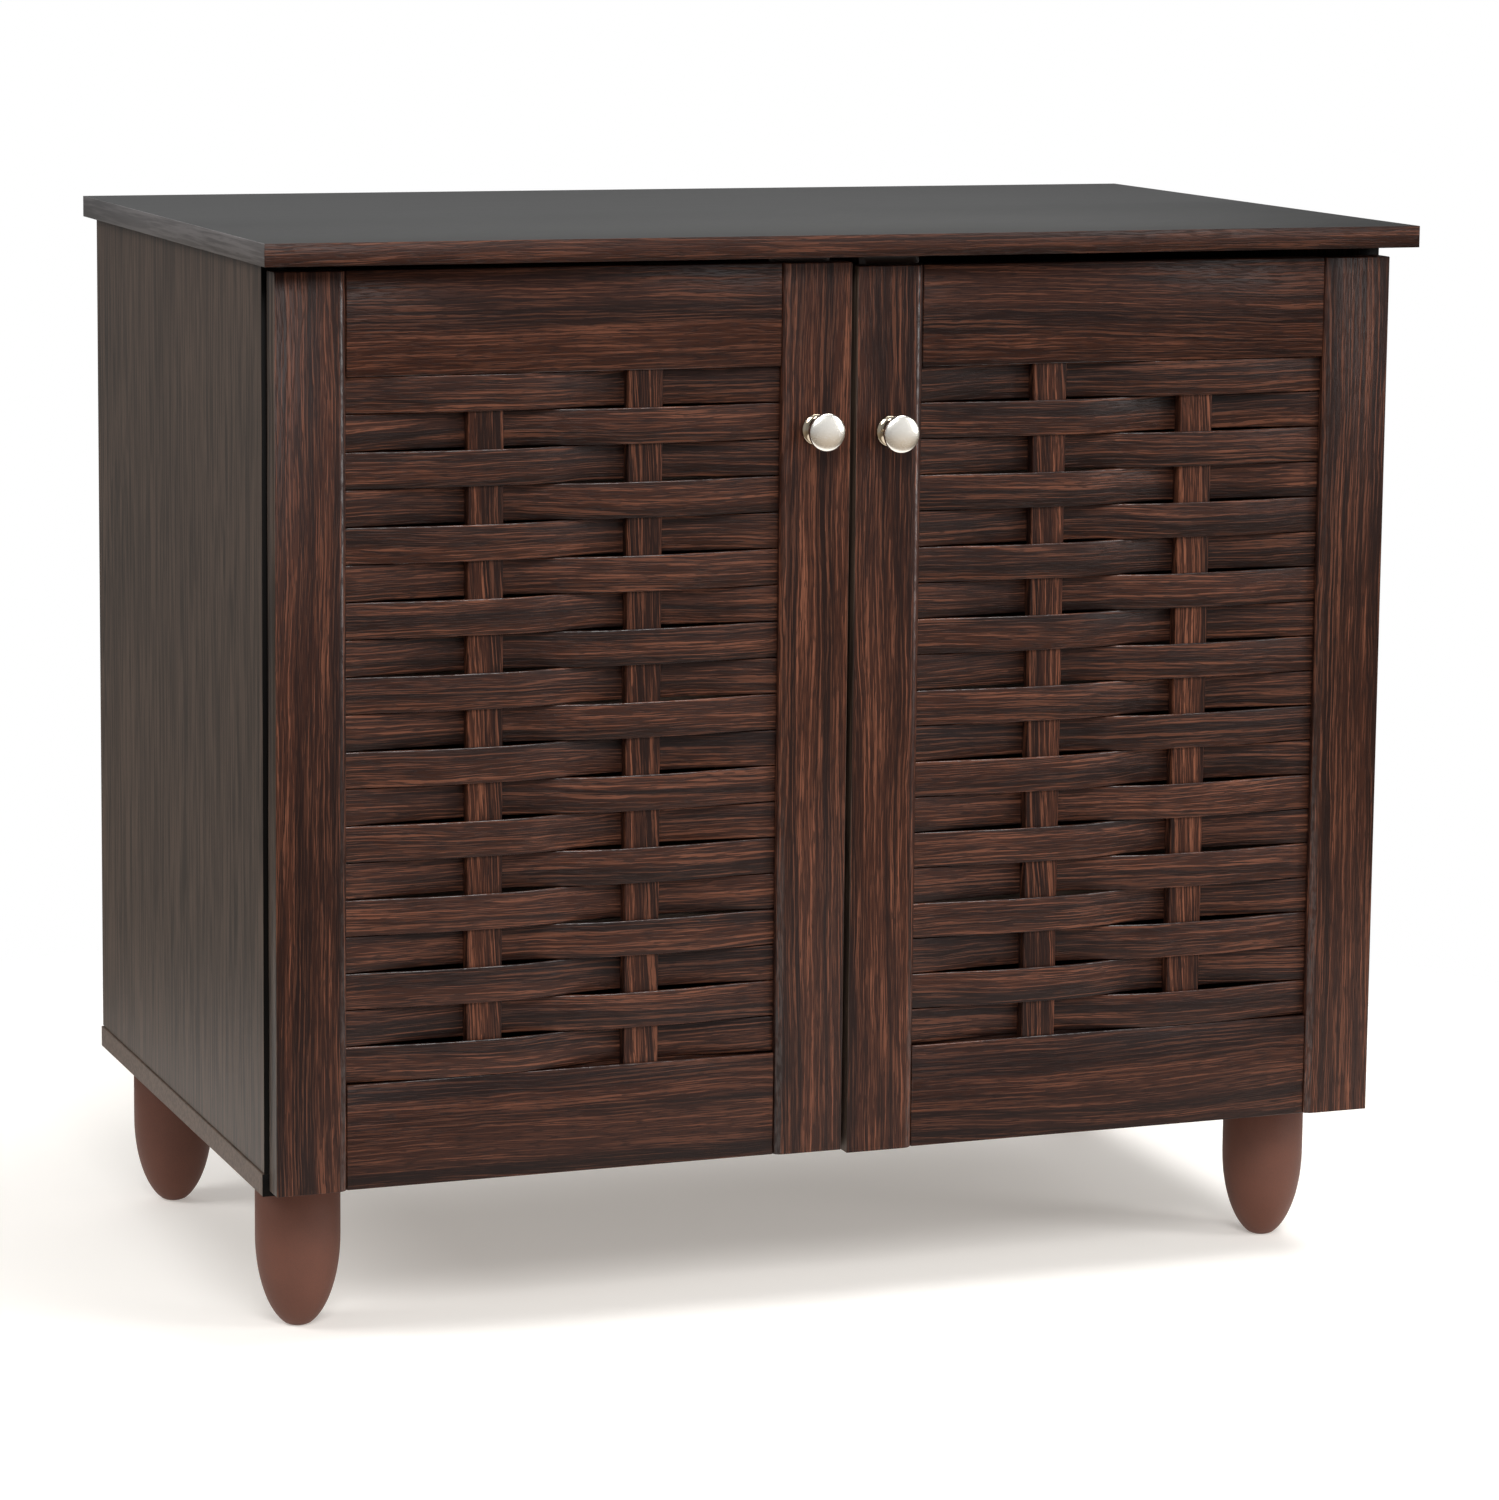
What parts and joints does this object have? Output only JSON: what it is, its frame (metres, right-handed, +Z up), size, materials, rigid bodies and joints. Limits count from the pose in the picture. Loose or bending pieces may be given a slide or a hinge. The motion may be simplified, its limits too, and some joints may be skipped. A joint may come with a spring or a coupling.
{
  "type": "shoe cabinet",
  "caption": "Low dark-wood shoe cabinet with woven-slat panel doors, round metal knobs, an overhanging top, inner shelves and bullet-shaped feet.",
  "frame": {"origin": "on the floor, at the middle of the cabinet's outer box, knobs included", "axes": "+X to the right along the front, +Y to the back, +Z up"},
  "size_m": [0.814, 0.4976, 0.73],
  "materials": {
    "top_foil": "dark wood-grain foil, satin, on particle board",
    "side_foil": "grey-brown wood-grain foil, satin",
    "door_wood": "dark espresso wood grain, satin lacquer",
    "weave_wood": "dark espresso thin slats, satin lacquer",
    "inside_foil": "brown foil, matte",
    "back_board": "printed hardboard, matte",
    "foot_plastic": "fine textured red-brown plastic",
    "satin_nickel": "satin nickel plate",
    "hinge_steel": "nickel-plated steel",
    "catch_plastic": "brown moulded plastic"
  },
  "bodies": {
    "cabinet": {"back_panel": "back_board", "bottom_panel": "side_foil", "foot_back_left": "foot_plastic", "foot_back_right": "foot_plastic", "foot_bolt_back_left": "hinge_steel", "foot_bolt_back_right": "hinge_steel", "foot_bolt_front_left": "hinge_steel", "foot_bolt_front_right": "hinge_steel", "foot_front_left": "foot_plastic", "foot_front_right": "foot_plastic", "left_hinge_arm_lower": "hinge_steel", "left_hinge_arm_upper": "hinge_steel", "magnetic_catch_left": "catch_plastic", "magnetic_catch_right": "catch_plastic", "right_hinge_arm_lower": "hinge_steel", "right_hinge_arm_upper": "hinge_steel", "shelf_lower": "inside_foil", "shelf_middle": "inside_foil", "shelf_pin_lower_back_left": "hinge_steel", "shelf_pin_lower_back_right": "hinge_steel", "shelf_pin_lower_front_left": "hinge_steel", "shelf_pin_lower_front_right": "hinge_steel", "shelf_pin_middle_back_left": "hinge_steel", "shelf_pin_middle_back_right": "hinge_steel", "shelf_pin_middle_front_left": "hinge_steel", "shelf_pin_middle_front_right": "hinge_steel", "shelf_pin_upper_back_left": "hinge_steel", "shelf_pin_upper_back_right": "hinge_steel", "shelf_pin_upper_front_left": "hinge_steel", "shelf_pin_upper_front_right": "hinge_steel", "shelf_upper": "inside_foil", "side_panel_left": "side_foil", "side_panel_right": "side_foil", "top_panel": "top_foil"},
    "left_door": {"left_door_rail_bottom": "door_wood", "left_door_rail_top": "door_wood", "left_door_stile_hinge": "door_wood", "left_door_stile_knob": "door_wood", "left_door_strike": "hinge_steel", "left_door_woven_panel": "weave_wood", "left_hinge_cup_lower": "hinge_steel", "left_hinge_cup_upper": "hinge_steel", "left_hinge_pin_lower": "hinge_steel", "left_hinge_pin_upper": "hinge_steel", "left_knob": "satin_nickel", "left_knob_screw": "hinge_steel"},
    "right_door": {"right_door_rail_bottom": "door_wood", "right_door_rail_top": "door_wood", "right_door_stile_hinge": "door_wood", "right_door_stile_knob": "door_wood", "right_door_strike": "hinge_steel", "right_door_woven_panel": "weave_wood", "right_hinge_cup_lower": "hinge_steel", "right_hinge_cup_upper": "hinge_steel", "right_hinge_pin_lower": "hinge_steel", "right_hinge_pin_upper": "hinge_steel", "right_knob": "satin_nickel", "right_knob_screw": "hinge_steel"}
  },
  "joints": [
    {"name": "left_door_hinge", "type": "hinge", "parent": "cabinet", "child": "left_door", "pos_m": [-0.3873, -0.21725, 0.4105], "axis": [0, 0, -1], "range_deg": [0, 95]},
    {"name": "right_door_hinge", "type": "hinge", "parent": "cabinet", "child": "right_door", "pos_m": [0.3873, -0.21725, 0.4078], "axis": [0, 0, 1], "range_deg": [0, 95]}
  ]
}
